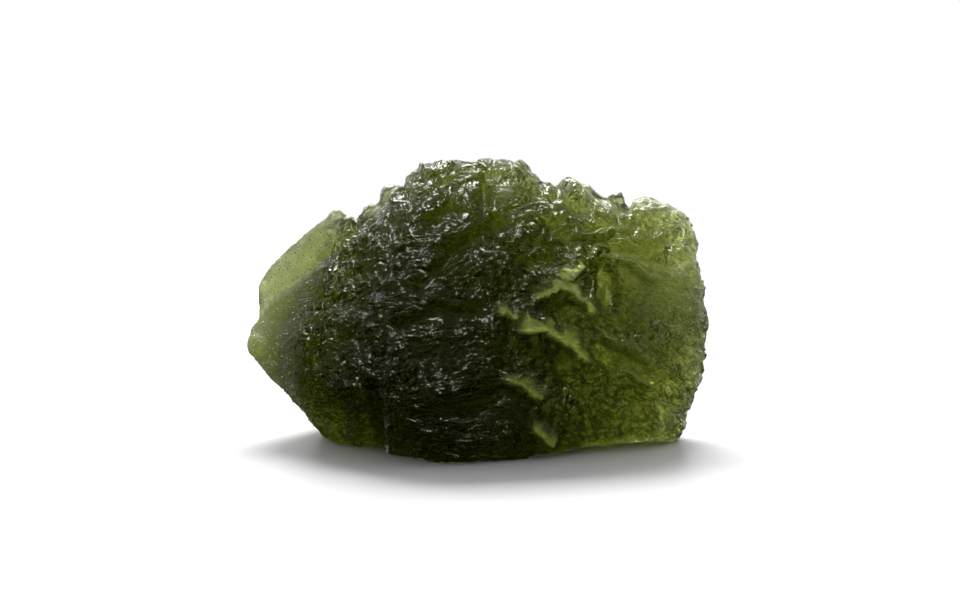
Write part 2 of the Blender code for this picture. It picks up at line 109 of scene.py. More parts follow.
# Bowls of the front: middle, half axes, turn in degrees, depth
BOWLS = [
    ((8.8, 12.3), (0.95, 1.8), 14, 0.75),
    ((5.7, 10.5), (1.6, 0.75), -4, 0.60),
    ((9.2, 7.4), (2.3, 0.9), -20, 0.55),
    ((12.1, 6.1), (1.9, 0.9), -35, 0.40),
    ((13.3, 15.2), (1.3, 0.8), 20, 0.45),
    ((3.8, 13.8), (1.8, 0.5), 3, 0.30),
    ((5.9, 7.0), (1.0, 0.8), 3, 0.30),
    ((12.2, 16.6), (0.9, 0.8), 3, 0.35),
    ((10.2, 18.0), (0.8, 0.8), 3, 0.35),
]
# Bowls of the back, which show in the front view only by the light that they let through: middle,
# half axes, turn in degrees, depth
BACK_BOWLS = [
    ((8.8, 12.3), (3.0, 3.6), 0, 2.4),
    ((5.2, 9.0), (4.5, 4.5), 0, 2.0),
    ((6.8, 4.0), (5.0, 3.6), 0, 1.6),
]
# Ledges of the front: line of the crest, its height, reach of the slope to its left. To its right the
# skin drops off.
LEDGES = [
    ([(3.5, 11.2), (4.5, 11.6), (5.6, 11.9), (6.6, 11.6), (7.4, 10.9), (7.8, 9.9)], 0.50, 0.9),
    ([(6.2, 12.3), (6.6, 12.9), (7.4, 13.4)], 0.45, 0.6),
    ([(4.3, 15.4), (5.9, 15.7), (7.3, 15.7), (8.7, 15.7), (10.0, 16.2), (11.1, 17.0)], 0.45, 0.8),
    ([(8.5, 14.3), (10.1, 14.0), (11.6, 13.4), (13.5, 12.5)], 0.45, 0.8),
    ([(1.2, 10.5), (2.0, 10.3), (2.8, 9.8)], 0.50, 0.6),
    ([(2.4, 9.3), (4.1, 9.1), (5.6, 8.7), (6.7, 7.8), (7.7, 6.8)], 0.85, 0.9),
    ([(6.9, 8.8), (8.7, 8.7), (10.2, 8.1), (11.6, 7.4), (13.0, 6.3)], 0.50, 0.8),
    ([(1.9, 5.8), (3.1, 5.7), (3.9, 5.0), (4.3, 4.1)], 0.45, 0.7),
    ([(3.6, 2.5), (4.3, 2.0), (5.1, 1.3)], 0.45, 0.6),
    ([(12.1, 4.3), (12.6, 3.3), (12.8, 2.6), (12.2, 1.8)], 0.60, 0.7),
    ([(10.0, 6.7), (11.0, 5.8), (11.9, 5.1)], 0.30, 0.5),
]
# Raised knobs of the front: middle, radius, height
KNOBS = [
    ((1.9, 18.6), 0.60, 0.60),
    ((3.1, 20.3), 0.60, 0.35),
    ((-15.5, 8.2), 0.70, 0.25),
]
# Thin cracks of the front: line, half width, depth
CRACKS = [
    ([(1.2, 14.1), (1.6, 12.7), (1.7, 11.0)], 0.14, 0.50),
    ([(1.9, 14.0), (2.2, 12.6), (2.0, 11.3)], 0.12, 0.35),
    ([(4.0, 15.4), (4.7, 16.6)], 0.14, 0.45),
    ([(4.5, 15.0), (5.2, 16.2)], 0.12, 0.40),
    ([(8.0, 14.0), (7.5, 12.4), (7.1, 11.2)], 0.13, 0.40),
    ([(11.5, 8.2), (12.9, 7.5), (13.7, 5.8)], 0.14, 0.35),
    ([(9.7, 5.4), (10.8, 5.1), (11.9, 4.1)], 0.13, 0.30),
    ([(-1.2, 5.3), (0.2, 5.0), (2.0, 5.3), (3.4, 5.1)], 0.20, 0.30),
]
# The smooth channel at the foot's left, from its top to below the ground, which is darkened by painted
# shade
CHANNEL = [(-7.2, 5.4), (-7.1, 3.9), (-6.9, 2.2), (-6.8, -1.5)]
# How much painted shade each of the valleys carries
VALLEY_SHADE = (0.4, 0.3, 0.9, 0.2, 0.4, 0.1, 0.1, 0.1, 0.1, 0.3)
# How bright the painted glow on each of the ledges' crests is, and how wide it is
LEDGE_LIGHT = (
    (1.4, 0.55), (1.4, 0.8), (0.3, 0.4), (0.3, 0.4), (0.7, 0.5), (1.0, 0.8), (0.3, 0.4), (0.6, 0.6),
    (0.8, 0.6), (1.0, 0.6), (0.4, 0.4))
# How bright the painted highlight on each of the knobs is
KNOB_LIGHT = (0.6, 0.4, 0.0)

# Relief that is only shaded, in shares of the grain's height
HAIR_RELIEF = 2.4
CREASE_RELIEF = 4.0
SCALE_RELIEF = 9.0
GROOVE_RELIEF = 2.0
DOT_RELIEF = 0.8
CLEAR_GRAIN = 0.1
FROSTED_GRAIN = 0.8
# How much painted shade the scales' grooves, the gaps between hairs and the shaded places take
GROOVE_SHADE = 0.95
HAIR_GAP_SHADE = 0.7
PLACED_SHADE = 0.8
# Share of the frost's pale film, the dots' painted glints, and the painted glow on lips, their hairs and
# lumps
FROST_FILM = 0.06
DOT_GLINT = 0.40
LIP_GLOW = 0.5
HAIR_GLOW = 0.3
LUMP_GLOW = 0.50
# Roughness and gloss of the film, which carries the frost and the painted glow
FILM_ROUGHNESS = 0.6
FILM_GLOSS = 0.2
# Grains and dots per metre
GRAIN_RATE = 5200.0
DOT_RATE = 3300.0

# The studio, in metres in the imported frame
FLOOR_HALF = 0.10             # half the floor's width
FLOOR_DROP = 0.01 * MM        # how far the floor lies under the stone
FLOOR_FADE = (0.04, 0.09)     # distances at which the floor begins to fade and is gone
FLOOR_ROUGHNESS = 0.35
FLOOR_GLOSS = 0.2
LAMP_TARGET = (0, 0, 0.01)
SOFTBOX_PLACE = (-0.02, 0.17, 0.25)
SOFTBOX_SIZE = (0.20, 0.08)
GLINT_PLACE = (-0.06, -0.02, 0.27)
GLINT_SIZE = (0.16, 0.09)
SENSOR_WIDTH = 36.0           # of the camera, in millimetres
# Where the room's light changes, as the part of a direction that points away or up
ROOM_TURN = (-0.4, 0.4)
BACKDROP_TURN = (0.1, 0.7)
OVERHEAD_TURN = (0.3, 0.9)
FLOOR_TURN = (-0.45, -0.2)


class Noise:
    """Smooth seeded values in space, about -1 to 1, that change over one unit.

    A number that is added to the places gives another pattern.
    """

    gain = 1.7      # brings the values to about -1 to 1
    spread = 0.45   # how far a cell's point lies from the cell's middle
    far = 9.0       # more than the distance to the nearest points

    def __init__(self, seed):
        rng = np.random.default_rng(seed)
        self.order = np.tile(rng.permutation(256), 3)
        ways = rng.normal(size=(256, 3))
        self.ways = ways / np.linalg.norm(ways, axis=1, keepdims=True)

    def pick(self, cell):
        """A seeded number from 0 to 255 for each whole-numbered cell."""
        c = cell & 255
        return self.order[self.order[self.order[c[:, 0]] + c[:, 1]] + c[:, 2]]

    def __call__(self, p):
        cell = np.floor(p).astype(np.int64)
        f = p - cell
        fade = f * f * f * (f * (f * 6 - 15) + 10)
        total = np.zeros(len(p))
        for corner in itertools.product((0, 1), repeat=3):
            way = self.ways[self.pick(cell + corner)]
            weight = np.prod(np.where(corner, fade, 1 - fade), axis=1)
            total += weight * np.einsum("ij,ij->i", way, f - corner)
        return total * self.gain

    def cells(self, p):
        """Distances to the two nearest seeded points, one to a cell, and a slope of the nearest."""
        cell = np.floor(p).astype(np.int64)
        f = p - cell
        best = np.full(len(p), self.far)
        second = np.full(len(p), self.far)
        tilt = np.zeros(len(p))
        for corner in itertools.product((-1, 0, 1), repeat=3):
            way = self.ways[self.pick(cell + corner)]
            offset = f - (np.array(corner) + 0.5 + self.spread * way)
            d = np.linalg.norm(offset, axis=1)
            second = np.where(d < best, best, np.minimum(second, d))
            tilt = np.where(d < best, np.einsum("ij,ij->i", offset, way[:, ::-1]), tilt)
            best = np.minimum(best, d)
        return best, second, tilt


NOISE = Noise(7)


def smooth(x, low, high):
    """0 below low, 1 above high, and an even S between."""
    t = np.clip((x - low) / (high - low), 0, 1)
    return t * t * (3 - 2 * t)


def least(a, b, blend):
    """The smaller of two, rounded where they meet."""
    h = np.clip(0.5 + 0.5 * (b - a) / blend, 0, 1)
    return b * (1 - h) + a * h - blend * h * (1 - h)


def bevel(u, v, origin, way, start, slope):
    """A slanting face: start deep at origin, and deeper by slope for each millimetre along way."""
    size = math.hypot(*way)
    return start + slope * ((u - origin[0]) * way[0] + (v - origin[1]) * way[1]) / size


def shouldered(u, v, origin, way, start, shoulder):
    """A nearly flat face, start deep at origin, that is steep past shoulder millimetres along way."""
    flat_slope, steep_slope, blend = 0.22, 0.85, 2.6
    flat = bevel(u, v, origin, way, start, flat_slope)
    steep = bevel(u, v, origin, way, start + (flat_slope - steep_slope) * shoulder, steep_slope)
    return -least(-flat, -steep, blend)


def to_line(line, u, v):
    """Distance to a line, positive on its left, and how far along it that is, from 0 to 1."""
    points = np.array(line)
    spans = np.hypot(*(points[1:] - points[:-1]).T)
    nearest = np.full(len(u), 1e9)
    along = np.zeros(len(u))
    run = 0.0
    for a, b, span in zip(points[:-1], points[1:], spans):
        way = (b - a) / span
        t = np.clip((u - a[0]) * way[0] + (v - a[1]) * way[1], 0, span)
        du = u - a[0] - t * way[0]
        dv = v - a[1] - t * way[1]
        d = np.hypot(du, dv) * np.where(way[0] * dv - way[1] * du < 0, -1, 1)
        closer = np.abs(d) < np.abs(nearest)
        nearest = np.where(closer, d, nearest)
        along = np.where(closer, (run + t) / spans.sum(), along)
        run += span
    return nearest, along


def closed_curve(points, steps=6):
    """A smooth closed curve through the points."""
    p = np.array(points)
    before, here, after, later = np.roll(p, 1, 0), p, np.roll(p, -1, 0), np.roll(p, -2, 0)
    out = []
    for t in np.arange(steps) / steps:
        out.append(0.5 * (2 * here + (after - before) * t
                          + (2 * before - 5 * here + 4 * after - later) * t * t
                          + (3 * here - before - 3 * after + later) * t ** 3))
    return np.stack(out, axis=1).reshape(-1, 2)


def rim_radius(angle):
    """The outline's distance from CENTRE in each direction."""
    curve = closed_curve(OUTLINE) - CENTRE
    direction = np.arctan2(curve[:, 1], curve[:, 0])
    order = np.argsort(direction)
    return np.interp(angle, direction[order], np.hypot(*curve.T)[order], period=2 * math.pi)


def front_depth(u, v):
    """How far the front stands out from the rim's plane, before the rim closes."""
    brow = 1.4 * np.exp(-((u - 1.0) / 7.0) ** 2 - ((v - 16.0) / 3.5) ** 2)
    depth = 7.2 + brow - 0.012 * (u + 3.0) ** 2 + 0.06 * (9.0 - v) - 0.011 * np.maximum(v - 9.0, 0) ** 2
    # Faces that cut the swelling middle: the thin left end, the left foot, the right end, the upper
    # right, the top and the lifted foot at the right. Beyond the steps only thin lumps are left.
    depth = least(depth, shouldered(u, v, (-12.4, 15.5), (0.86, -0.5), 1.7, 3.0), 1.0)
    depth = least(depth, bevel(u, v, (-10.7, 2.2), (0.6, 0.8), 1.6, 1.5), 1.0)
    depth = least(depth, bevel(u, v, (16.0, 9.9), (-1.0, 0.05), 2.1, 0.30), 1.2)
    depth = least(depth, bevel(u, v, (12.2, 18.4), (-0.45, -0.9), 1.4, 0.44), 1.2)
    depth = least(depth, bevel(u, v, (0.2, 21.3), (0.0, -1.0), 5.0, 0.75), 1.2)
    lifted = np.interp(u, [2.7, 6.3, 11.6, 14.0], [-1.0, 0.6, 1.35, 1.0])
    depth = least(depth, np.maximum(0.6 + 5.0 * (v - lifted), 0.6), 0.6)
    beyond = smooth(to_line(LEFT_STEP, u, v)[0], -0.1, 0.5)
    depth = depth * (1 - beyond) + 0.4 * beyond
    beyond = smooth(to_line(RIGHT_STEP, u, v)[0], -0.1, 0.5)
    beyond = beyond * smooth(u, 4.0, 5.0) * (1 - smooth(u, 10.2, 11.5))
    depth = depth * (1 - beyond) + 0.5 * beyond
    return np.maximum(depth, 0.35)


def bowl_reach(u, v, middle, half_axes, turn):
    """Distance from a bowl's middle in shares of its half axes."""
    c, s = math.cos(math.radians(turn)), math.sin(math.radians(turn))
    du, dv = u - middle[0], v - middle[1]
    return np.hypot((du * c + dv * s) / half_axes[0], (-du * s + dv * c) / half_axes[1])


def back_depth(u, v):
    """How far the back stands out behind the rim's plane, before the rim closes."""
    depth = 6.6 - 0.010 * (u - 1.0) ** 2 - 0.006 * (v - 10.0) ** 2
    # Faces that cut the swelling middle: the thin left end, the right end, the upper right and the top
    depth = least(depth, shouldered(u, v, (-13.1, 14.8), (0.86, -0.5), 2.3, 3.4), 1.0)
    depth = least(depth, bevel(u, v, (16.0, 9.9), (-1.0, 0.0), 2.0, 0.27), 1.2)
    depth = least(depth, bevel(u, v, (12.2, 18.4), (-0.3, -0.95), 1.4, 0.40), 1.2)
    depth = least(depth, bevel(u, v, (0.2, 21.3), (0.1, -1.0), 4.2, 0.70), 1.2)
    for middle, half_axes, turn, deep in BACK_BOWLS:
        depth = depth - deep * (1 - smooth(bowl_reach(u, v, middle, half_axes, turn), 0.3, 1.4))
    beyond = smooth(to_line(LEFT_STEP, u, v)[0], -0.3, 0.6) * smooth(v, 16.0, 17.0)
    return np.maximum(depth * (1 - beyond) + 1.1 * beyond, 0.8)


def smooth_body(rings=110, spokes=240):
    """The body without its relief, as points and faces in u, v and w.

    The rings crowd towards the rim, where the body closes bluntly.
    """
    crowding, bluntness = 0.35, 0.8
    angle = np.linspace(-math.pi, math.pi, spokes, endpoint=False)
    rim = rim_radius(angle)
    rows = []
    for t in np.linspace(-math.pi / 2, math.pi / 2, rings + 1)[1:-1]:
        share = math.cos(t) ** crowding
        closing = abs(math.sin(t)) ** bluntness
        u = CENTRE[0] + share * rim * np.cos(angle)
        v = CENTRE[1] + share * rim * np.sin(angle)
        w = -front_depth(u, v) * closing if t < 0 else back_depth(u, v) * closing
        rows.append(np.stack([u, v, w], axis=1))
    centre = np.array([[CENTRE[0]], [CENTRE[1]]])
    front = [CENTRE[0], CENTRE[1], -front_depth(*centre)[0]]
    back = [CENTRE[0], CENTRE[1], back_depth(*centre)[0]]
    points = np.vstack(rows + [[front], [back]])
    faces = []
    for row, k in itertools.product(range(len(rows) - 1), range(spokes)):
        nxt = (k + 1) % spokes
        here, there = row * spokes, (row + 1) * spokes
        faces.append((here + k, here + nxt, there + nxt, there + k))
    last = (len(rows) - 1) * spokes
    for k in range(spokes):
        nxt = (k + 1) % spokes
        faces.append((nxt, k, len(points) - 2))
        faces.append((last + k, last + nxt, len(points) - 1))
    return points, faces


def flow(p):
    """Places along and across the wrinkles, which arch over the front and slant at its lower left."""
    u, v, w = p.T
    arch = v + 0.026 * (u - 1.0) ** 2
    slant = 0.82 * v + 0.57 * u + 8.6
    low_left = smooth(-u, 5.5, 11.5) * (1 - smooth(v, 1.5, 8.0))
    return np.stack([u, arch * (1 - low_left) + slant * low_left, w], axis=1)


def folds(places, stretch, seed):
    """Sharp crests and round troughs, 0 to 1, drawn out by stretch along the flow."""
    return (1 - np.abs(NOISE(places * stretch + seed))) ** 2


def plates(places, stretch, seed, groove):
    """Tilted plates, one to a cell, with grooves between them."""
    nearest, second, tilt = NOISE.cells(places * stretch + seed)
    return smooth(second - nearest, 0.0, groove) * (0.6 + 0.8 * tilt)


def drift(p, rate, seeds):
    """A seeded drift of the places, with one pattern for each axis."""
    return np.stack([NOISE(p * rate + seed) for seed in seeds], axis=1)


def wobble(p, seed):
    """A slow and a quick unevenness that keep a placed line from being straight."""
    return 0.30 * NOISE(p * 0.8 + seed) + 0.10 * NOISE(p * 2.0 + (seed + 5.0))


def tapered(along, share):
    """1 along a line, and 0 at both ends, which take a share of it each."""
    return smooth(along, 0, share) * (1 - smooth(along, 1 - share, 1.0))


def rough_relief(p, front, frosted, right_end):
    """Heights of the body's broad unevenness, and of its wrinkles and scales."""
    u, v, w = p.T
    q = p + drift(p, 0.35, (3.1, 17.7, 31.3)) * 1.6
    broad = (0.40 * NOISE(p * 0.28 + 5.0) + 0.20 * NOISE(q * 0.6 + 9.0)) * (1 - 0.8 * frosted)
    wrinkle = folds(flow(q), (0.28, 1.0, 0.5), 40.0)
    fine = folds(flow(q), (0.7, 2.3, 1.2), 60.0)
    scale = plates(q, (0.50, 0.75, 0.55), 2.0, 0.25)
    small_scale = plates(q, (1.1, 1.5, 1.2), 12.0, 0.35)

    lower_right = smooth(u, -3.0, 3.0) * (1 - smooth(v, 8.0, 11.0))
    wrinkled = (1 - 0.75 * lower_right) * (1 - 0.6 * right_end)
    scaly = 0.25 + 0.75 * lower_right + 0.3 * smooth(v, 14.0, 18.0)
    wrinkled = (wrinkled * front + 0.7 * (1 - front)) * (1 - 0.85 * frosted)
    scaly = (scaly * front + 0.7 * (1 - front)) * (1 - 0.8 * frosted)
    detail = wrinkled * (0.26 * wrinkle + 0.12 * fine) + scaly * (0.30 * scale + 0.15 * small_scale)
    return broad, detail


def hollow_forms(a, b, front):
    """Height of the valleys and bowls at the wavering places, where they are smooth, and their painted
    shade.
    """
    form, quiet, shade = np.zeros((3, len(a)))
    for (line, half_width, depth), dark in zip(VALLEYS, VALLEY_SHADE):
        d, t = to_line(line, a, b)
        open_ends = 0.25 + 0.75 * tapered(t, 0.15)
        hollow = (1 - smooth(np.abs(d), 0.2 * half_width, 1.4 * half_width)) * open_ends
        form -= depth * hollow
        quiet = np.maximum(quiet, hollow)
        # Painted shade in the valley
        shade = np.maximum(shade, dark * hollow * front)
    for middle, half_axes, turn, depth in BOWLS:
        r = bowl_reach(a, b, middle, half_axes, turn)
        form -= depth * np.clip(1 - r ** 2, -0.35, 1) * (1 - smooth(r, 1.0, 1.5))
        quiet = np.maximum(quiet, 1 - smooth(r, 0.7, 1.0))
    return form, quiet, shade


def raised_forms(p, a, b, front, form, shade):
    """The form with its ledges and knobs, the painted shade under them, and the painted glow on lips and
    lumps.
    """
    u, v, w = p.T
    lips, lumps = np.zeros((2, len(u)))
    drop, undercut = 0.32, 0.3
    uneven = 0.55 + 0.6 * smooth(NOISE(p * 1.3 + 240.0), -0.5, 0.5)
    for (line, rise, reach), (light, width) in zip(LEDGES, LEDGE_LIGHT):
        d, t = to_line(line, a, b)
        ends = tapered(t, 0.2)
        upper = np.exp(-np.maximum(d, 0) / reach)
        fading = np.exp(-np.maximum(-d - drop, 0) / reach)
        lower = (1 - 1.45 * smooth(-d, 0.0, drop) * fading) * fading
        near = 1 - smooth(np.abs(d), 1.5, 3.0)
        form += rise * np.where(d > 0, upper, lower) * (0.1 + 0.9 * ends) * near
        # Painted glow on the ledge's crest
        crest = smooth(d, -0.12, 0.05) * np.exp(-(np.maximum(d, 0) / (width * uneven)) ** 2)
        lips = np.maximum(lips, light * crest * ends * front)
        # Painted shade under the ledge's drop
        under = smooth(-d, 0.05, undercut) * np.exp(-(np.maximum(-d - undercut, 0) / undercut) ** 2)
        shade = np.maximum(shade, under * ends * front)
    for ((x, y), radius, tall), light in zip(KNOBS, KNOB_LIGHT):
        knob = np.exp(-(np.hypot(u - x, v - y) / radius) ** 4)
        form += tall * knob
        # Painted highlight on the knob
        lumps = np.maximum(lumps, light * knob * front)
    return form, shade, lips, lumps


def skin(p, normal, wrinkle_height):
    """The relief's height at points on the smooth body, masks for finish, painted shade and glow, and
    wrinkle places.
    """
    u, v, w = p.T
    front = smooth(-normal[:, 2], -0.15, 0.35)
    frosted = smooth(to_line(FROST_EDGE, u, v)[0], -0.8, 1.6)
    right_end = smooth(u, 9.0, 13.0)
    shift, lift = wobble(p, 70.0), wobble(p, 90.0)
    broad, detail = rough_relief(p, front, frosted, right_end)
    form, quiet, shade = hollow_forms(u + shift, v + lift, front)
    form, shade, lips, lumps = raised_forms(p, u + shift, v + lift, front, form, shade)
    height = broad + detail * (1 - 0.85 * quiet * front) + form * front - SINK

    # Finer relief that only the dressed stone carries
    for line, half_width, depth in CRACKS:
        d, t = to_line(line, u + 0.7 * shift, v + 0.7 * lift)
        crack = np.exp(-(d / half_width) ** 2) * tapered(t, 0.15) * front
        height -= depth * crack
        # Painted shade in the crack
        shade = np.maximum(shade, crack)
    threads = flow(p + 0.5 * drift(p, 0.9, (13.1, 7.7, 1.3)))
    crinkle = 2.0 * folds(threads, (0.35, 1.9, 1.3), 160.0) + folds(threads, (0.6, 3.2, 2.2), 190.0)
    scales = smooth(u, 0.0, 4.0) * (1 - smooth(v, 9.0, 12.0))
    left_lumps = smooth(to_line(LEFT_STEP, u, v)[0], 0.0, 0.5) * smooth(v, 16.5, 17.5)
    right_lumps = smooth(to_line(RIGHT_STEP, u, v)[0], 0.0, 0.5) * smooth(u, 4.0, 5.0)
    # The thin lumps carry painted glow, and their wrinkles are quieter
    lumps = np.maximum(lumps, np.maximum(left_lumps, right_lumps * smooth(v, 17.0, 18.0)))
    # Painted shade in the foot's channel
    channel = (1 - smooth(np.abs(to_line(CHANNEL, u, v)[0]), 0.4, 0.8)) * front
    crinkled = (1 - 0.95 * frosted * front) * (1 - 0.5 * right_end * front) * (1 - 0.75 * scales * front)
    crinkled = crinkled * (1 - 0.8 * quiet * front) * (1 - 0.7 * lumps) * (1 - channel)
    height += wrinkle_height * (crinkle - 1.5) * crinkled

    right_face = right_end * smooth(v, 6.0, 9.0) * (1 - smooth(v, 13.0, 15.0)) * front
    # Masks for the finish, among them the painted shade and the painted glow
    masks = {
        "frost": np.maximum(frosted, 0.45 * right_face),
        "crinkled": crinkled * (1 - 0.25 * (1 - smooth(v, 0.5, 4.0)) * front),
        "scales": scales * front * (1 - 0.7 * quiet),
        "lips": lips,
        "lumps": lumps * front,
        "shade": np.maximum(shade, channel),
    }
    return height, masks, threads


def even_mesh(points, faces, voxel):
    """A closed mesh of even quads over the given one."""
    source = bpy.data.meshes.new("source")
    source.from_pydata([tuple(p) for p in points], [], faces)
    bm = bmesh.new()
    bm.from_mesh(source)
    bmesh.ops.recalc_face_normals(bm, faces=bm.faces)
    bm.to_mesh(source)
    bm.free()
    holder = bpy.data.objects.new("source", source)
    bpy.context.scene.collection.objects.link(holder)
    remesh = holder.modifiers.new("even", "REMESH")
    remesh.mode = "VOXEL"
    remesh.voxel_size = voxel
    graph = bpy.context.evaluated_depsgraph_get()
    result = bpy.data.meshes.new_from_object(holder.evaluated_get(graph))
    bpy.data.objects.remove(holder)
    bpy.data.meshes.remove(source)
    return result


def arrays(mesh):
    """The mesh's points and normals."""
    points = np.empty(len(mesh.vertices) * 3, np.float32)
    normals = np.empty(len(mesh.vertices) * 3, np.float32)
    mesh.vertices.foreach_get("co", points)
    mesh.vertices.foreach_get("normal", normals)
    return points.reshape(-1, 3).astype(float), normals.reshape(-1, 3).astype(float)


def softened(mesh, normals, rounds=8):
    """The normals, each evened out with its neighbours'."""
    edges = np.empty(len(mesh.edges) * 2, np.int32)
    mesh.edges.foreach_get("vertices", edges)
    a, b = edges.reshape(-1, 2).T
    for _ in range(rounds):
        total = normals.copy()
        np.add.at(total, a, normals[b])
        np.add.at(total, b, normals[a])
        normals = total / np.linalg.norm(total, axis=1, keepdims=True)
    return normals


def resting(p):
    """Points of the front view, turned to the way the stone rests: x right, y away and z up."""
    u, v, w = p.T
    c, s = math.cos(LEAN), math.sin(LEAN)
    return np.stack([u, v * s + w * c, v * c - w * s - GROUND], axis=1)


class Socket:
    """A value in a material. Sums and products of sockets and numbers add Math nodes."""

    def __init__(self, tree, socket):
        self.tree = tree
        self.socket = socket

    def maths(self, operation, first, second):
        return self.tree.node("ShaderNodeMath", {"operation": operation}, {0: first, 1: second})

    def __add__(self, other):
        return self.maths("ADD", self, other)

    def __radd__(self, other):
        return self.maths("ADD", other, self)

    def __sub__(self, other):
        return self.maths("SUBTRACT", self, other)

    def __rsub__(self, other):
        return self.maths("SUBTRACT", other, self)

    def __mul__(self, other):
        return self.maths("MULTIPLY", self, other)

    def __rmul__(self, other):
        return self.maths("MULTIPLY", other, self)


class ShaderTree:
    """A material's or world's nodes, added one call at a time."""

    def __init__(self, owner):
        owner.use_nodes = True
        self.nodes = owner.node_tree.nodes
        self.links = owner.node_tree.links
        self.nodes.clear()

    def node(self, kind, settings=None, inputs=None, output=0):
        """Adds a node, sets it up, fills its inputs with values or links, and gives one output."""
        node = self.nodes.new(kind)
        for name, value in (settings or {}).items():
            setattr(node, name, value)
        for key, value in (inputs or {}).items():
            if isinstance(value, Socket):
                self.links.new(value.socket, node.inputs[key])
            else:
                node.inputs[key].default_value = value
        if not node.outputs:
            return None
        return Socket(self, node.outputs[output])


class StoneSettings(bpy.types.PropertyGroup):
    """Sizes of the stone's skin."""

    mesh_size: bpy.props.FloatProperty(
        name="Mesh size", description="Edge length of the faces that carry the relief",
        default=0.155 * MM, min=0.12 * MM, max=1 * MM, precision=6, unit="LENGTH")
    wrinkle_height: bpy.props.FloatProperty(
        name="Fine wrinkles", description="Height of the finest modelled wrinkles",
        default=0.09 * MM, min=0, max=0.5 * MM, precision=6, unit="LENGTH")
    grain_height: bpy.props.FloatProperty(
        name="Grain", description="Height of the grain that is only shaded",
        default=0.05 * MM, min=0, max=0.2 * MM, precision=6, unit="LENGTH")


class GlassSettings(bpy.types.PropertyGroup):
    """Colour and clarity of the glass, and its painted shade and glow."""

    body_colour: bpy.props.FloatVectorProperty(
        name="Body colour", description="Light that the glass lets through, by its thickness",
        subtype="COLOR", size=4, default=(0.517, 0.542, 0.133, 1), min=0, max=1)
    surface_tint: bpy.props.FloatVectorProperty(
        name="Surface tint", description="Light that the skin lets through",
        subtype="COLOR", size=4, default=(0.92, 1.0, 0.62, 1), min=0, max=1)
    depth_of_colour: bpy.props.FloatProperty(
        name="Absorption", description="How strongly thickness darkens the glass, per metre",
        default=780.0, min=0, max=5000)
    refraction: bpy.props.FloatProperty(
        name="IOR", description="Index of refraction", default=1.49, min=1, max=2)
    # Painted shade: the darker light that the skin lets through in its grooves, creases and shaded
    # places
    shade_colour: bpy.props.FloatVectorProperty(
        name="Groove colour", description="Light that the skin lets through in its grooves",
        subtype="COLOR", size=4, default=(0.10, 0.12, 0.04, 1), min=0, max=1)
    frost_colour: bpy.props.FloatVectorProperty(
        name="Frost colour", description="Colour of the frosted skin's film",
        subtype="COLOR", size=4, default=(0.60, 0.66, 0.40, 1), min=0, max=1)
    # Painted glow of the lips that catch the light
    lip_glow_colour: bpy.props.FloatVectorProperty(
        name="Lip colour", description="Colour of the lips that catch the light",
        subtype="COLOR", size=4, default=(0.66, 0.80, 0.12, 1), min=0, max=1)
    # Painted glow and glints of the palest lips, lumps and dots
    pale_glow_colour: bpy.props.FloatVectorProperty(
        name="Pale colour", description="Colour of the palest lips, lumps and dots",
        subtype="COLOR", size=4, default=(0.74, 0.80, 0.52, 1), min=0, max=1)
    clear_roughness: bpy.props.FloatProperty(
        name="Clear roughness", description="Roughness of the wrinkled glass",
        subtype="FACTOR", default=0.06, min=0, max=1)
    frosted_roughness: bpy.props.FloatProperty(
        name="Frosted roughness", description="Roughness of the frosted ends",
        subtype="FACTOR", default=0.50, min=0, max=1)


class StudioSettings(bpy.types.PropertyGroup):
    """Floor, light and camera."""

    floor_colour: bpy.props.FloatVectorProperty(
        name="Floor", description="Colour of the floor", subtype="COLOR", size=4,
        default=(0.74, 0.74, 0.75, 1), min=0, max=1)
    sky_behind: bpy.props.FloatProperty(
        name="Light behind", description="Brightness of the room behind the stone",
        default=1.25, min=0, max=10)
    sky_before: bpy.props.FloatProperty(
        name="Light before", description="Brightness of the room on the viewer's side",
        default=0.04, min=0, max=10)
    sky_above: bpy.props.FloatProperty(
        name="Light above", description="Brightness of the room overhead",
        default=0.42, min=0, max=10)
    sky_mirrored: bpy.props.FloatProperty(
        name="Mirrored share", description="Share of the room's light that the skin mirrors",
        subtype="FACTOR", default=0.30, min=0, max=1)
    softbox_power: bpy.props.FloatProperty(
        name="Softbox", description="Power of the lamp overhead", unit="POWER",
        default=1.35, min=0, max=100)
    glint_power: bpy.props.FloatProperty(
        name="Glint lamp", description="Power of the lamp that only shows as glints", unit="POWER",
        default=0.8, min=0, max=100)
    lens: bpy.props.FloatProperty(
        name="Lens", description="Focal length on a sensor 36 mm wide, in millimetres",
        default=100.0, min=10, max=400)


def ramp(tree, value, low, high, start=0.0, end=1.0):
    """Start below low, end above high, and an even S between."""
    return tree.node("ShaderNodeMapRange", {"interpolation_type": "SMOOTHSTEP"}, {
        0: value, 1: low, 2: high, 3: start, 4: end})


def larger(tree, first, second):
    """The larger of two values."""
    return tree.node("ShaderNodeMath", {"operation": "MAXIMUM"}, {0: first, 1: second})


def mixed_colour(tree, factor, first, second):
    """The first colour where the factor is 0, the second where it is 1, and a mix between."""
    return tree.node("ShaderNodeMix", {"data_type": "RGBA"}, {
        "Factor": factor, "A": first, "B": second}, output=2)


def vector_maths(tree, operation, first, second, output=0):
    """A sum, product or the like of two vectors."""
    return tree.node("ShaderNodeVectorMath", {"operation": operation}, {0: first, 1: second}, output)


def hair_lines(tree, threads, stretch):
    """Fine wrinkles that run along the flow: 1 on their crests and falling off to both sides."""
    steepness = 5.0
    noise = tree.node("ShaderNodeTexNoise", inputs={
        "Vector": vector_maths(tree, "MULTIPLY", threads, stretch), "Scale": 1.0, "Detail": 1.5})
    return 1 - tree.node("ShaderNodeMath", {"operation": "ABSOLUTE"}, {0: noise - 0.5}) * steepness


